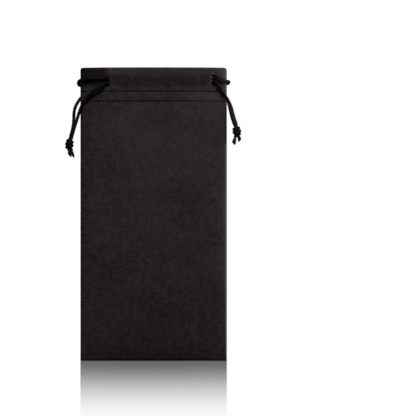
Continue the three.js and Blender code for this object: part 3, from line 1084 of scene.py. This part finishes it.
def stitch(side, row, x, offset, dive):
    """One stitch: it comes out of the fabric, lies along the valley and goes back in."""
    t = np.linspace(0, 1, 11)
    to_end = 2 * np.abs(t - 0.5)
    along = x + STITCH_LENGTH * t
    z = np.full(len(t), row)
    y = side * (layer_depth(side, along, z, offset) - dive * to_end**3)
    vertices, faces, height = tube_parts(np.stack([along, y, z], axis=1), THREAD_RADIUS, THREAD_SIDES)
    # where the thread's painted shade lies: its ends, where it dives into the fabric
    height[:-2] = np.repeat(1 - smoothstep(0.50, 0.75, to_end), THREAD_SIDES)
    height[-2:] = 0
    return vertices, faces, height


def make_stitches():
    """Both faces' rows of stitches, outside and, half a stitch on, inside."""
    reach = HALF - ROW_INSET
    starts = np.arange(-reach, reach - STITCH_LENGTH, STITCH_PITCH)
    for face, side in FACES.items():
        for row_name, row in ROWS.items():
            lies_at = float(outer_profile(np.array(row))) + STITCH_LIFT
            for hand in HOLES:
                chosen = [x for x in starts if (x + STITCH_LENGTH / 2 < SPLIT_X) == (hand == "left")]
                parts = [stitch(side, row, x, lies_at, STITCH_DIVE) for x in chosen]
                parts += [stitch(side, row, x + STITCH_PITCH / 2, INNER_OFFSET, INNER_DIVE) for x in chosen]
                piece = joined(f"{face}_{row_name}_stitches_{hand}", parts)
                finish_piece(piece, THREAD, "thread", f"{face}_{row_name}_stitch")
                gather(piece, hand)


make_stitches()


SEAM_INSET = 0.0016
SEAM_PITCH = 0.0028


def make_side_seams():
    """The hidden seam thread along each side, with a straight core that lets no light through."""
    t = np.linspace(0, 1, 6)
    for hand, outward in OUTWARD.items():
        low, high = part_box(f"{hand}_side_seam")
        parts = []
        for z in np.arange(low.z, high.z, SEAM_PITCH):
            x = outward * (HALF - SEAM_INSET) + 0.00018 * np.sin(2 * math.pi * t)
            y = 0.00025 * np.cos(2 * math.pi * t)
            parts.append(tube_parts(np.stack([x, y, z + 0.0026 * t], axis=1), 0.00022, THREAD_SIDES))
        up = np.arange(0.0010, HEIGHT - 0.0006, 0.0010)
        core = np.stack([np.full(len(up), outward * (HALF - SEAM_INSET)), np.zeros(len(up)), up], axis=1)
        parts.append(tube_parts(core, 0.00018, THREAD_SIDES))
        piece = joined(f"{hand}_side_seam_thread", parts)
        finish_piece(piece, THREAD, "thread", f"{hand}_side_seam")
        gather(piece, hand)


make_side_seams()

bottom_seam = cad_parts["bottom_seam"]
bottom_seam.data.materials.clear()
bottom_seam.data.materials.append(THREAD)


# ---- studio --------------------------------------------------


MIRROR = 0.87  # how much the floor mirrors right below the pouch
MIRROR_REACH = 0.44  # how far out, to the front and back, it turns matt
MIRROR_STRETCH = 0.5  # sideways it reaches further by the inverse of this
FLOOR_REACH = 5
DOME_RADIUS = 7


def make_floor():
    """A plain white floor that mirrors the pouch's foot and fades to matt further out."""
    r = FLOOR_REACH
    floor = make_mesh("floor", [(-r, -r, 0), (r, -r, 0), (r, r, 0), (-r, r, 0)], [(0, 1, 2, 3)])
    n = Nodes("floor")
    flattened = n.add("ShaderNodeVectorMath", operation="MULTIPLY")
    flattened.inputs[1].default_value = (MIRROR_STRETCH, 1, 0)
    n.link(n.position, flattened.inputs[0])
    away = n.add("ShaderNodeVectorMath", operation="LENGTH")
    n.link(flattened.outputs[0], away.inputs[0])
    fade = n.add("ShaderNodeMapRange", interpolation_type="SMOOTHSTEP")
    fade.inputs["From Max"].default_value = MIRROR_REACH
    fade.inputs["To Min"].default_value = MIRROR
    fade.inputs["To Max"].default_value = 0.0
    n.link(away.outputs["Value"], fade.inputs["Value"])
    matt = n.add("ShaderNodeEmission")
    mirror = n.add("ShaderNodeBsdfAnisotropic")
    mirror.inputs["Color"].default_value = (1, 1, 1, 1)
    mirror.inputs["Roughness"].default_value = 0.03
    mix = n.add("ShaderNodeMixShader")
    n.link(fade.outputs["Result"], mix.inputs["Fac"])
    n.link(matt.outputs[0], mix.inputs[1])
    n.link(mirror.outputs[0], mix.inputs[2])
    n.link(mix.outputs[0], n.tree.nodes["Material Output"].inputs["Surface"])
    floor.data.materials.append(n.material)
    floor.visible_diffuse = False
    floor.visible_glossy = False
    floor.visible_shadow = False
    floor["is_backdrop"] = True
    return floor


def make_backdrop(floor):
    """A white surround, seen behind the pouch and in the floor, that doesn't light the pouch."""
    shape = bmesh.new()
    bmesh.ops.create_icosphere(shape, subdivisions=4, radius=DOME_RADIUS)
    mesh = bpy.data.meshes.new("backdrop")
    shape.to_mesh(mesh)
    shape.free()
    backdrop = bpy.data.objects.new("backdrop", mesh)
    bpy.context.scene.collection.objects.link(backdrop)
    n = Nodes("backdrop")
    n.link(n.add("ShaderNodeEmission").outputs[0], n.tree.nodes["Material Output"].inputs["Surface"])
    mesh.materials.append(n.material)
    backdrop.visible_diffuse = False
    backdrop.visible_shadow = False
    lit = bpy.data.collections.new("lit_by_backdrop")
    lit.objects.link(floor)
    backdrop.light_linking.receiver_collection = lit
    backdrop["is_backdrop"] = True


def add_light(name, location, target, size, power):
    light = bpy.data.lights.new(name, "AREA")
    light.shape = "RECTANGLE"
    light.size, light.size_y = size
    light.energy = power
    place_light(name, light, location, target)


def add_spot(name, location, target, power, cone):
    """A soft spot on a small part of the pouch."""
    light = bpy.data.lights.new(name, "SPOT")
    light.energy = power
    light.spot_size = math.radians(cone)
    light.spot_blend = 1.0
    light.shadow_soft_size = 0.02
    place_light(name, light, location, target)


def place_light(name, light, location, target):
    lamp = bpy.data.objects.new(name, light)
    lamp.location = location
    lamp.rotation_euler = (Vector(target) - Vector(location)).to_track_quat("-Z", "Y").to_euler()
    bpy.context.scene.collection.objects.link(lamp)


AMBIENT = 0.12
MIDDLE = (0, 0, 0.1)

make_backdrop(make_floor())
world = bpy.data.worlds.new("studio")
world.use_nodes = True
world.node_tree.nodes["Background"].inputs["Color"].default_value = (1, 1, 1, 1)
world.node_tree.nodes["Background"].inputs["Strength"].default_value = AMBIENT
bpy.context.scene.world = world
add_light("key", (0.09, -0.84, 0.88), MIDDLE, size=(0.46, 0.36), power=8.9)
add_light("top", (0.0, -0.20, 1.10), MIDDLE, size=(0.22, 0.18), power=2.7)
add_light("back", (0.55, 1.00, 0.62), MIDDLE, size=(0.6, 0.5), power=9.0)
add_light("edge", (1.10, 0.20, 0.12), (0.045, 0, 0.10), size=(0.22, 0.7), power=13)
add_spot("corner", (0.19, -0.13, 0.235), (0.051, -0.006, 0.174), power=2.2, cone=8)
bpy.context.scene.view_settings.view_transform = "Standard"


both = {"cad": cad_bounds, "visual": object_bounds()}
{k: [[round(c, 5) for c in corner] for corner in v] for k, v in both.items()}
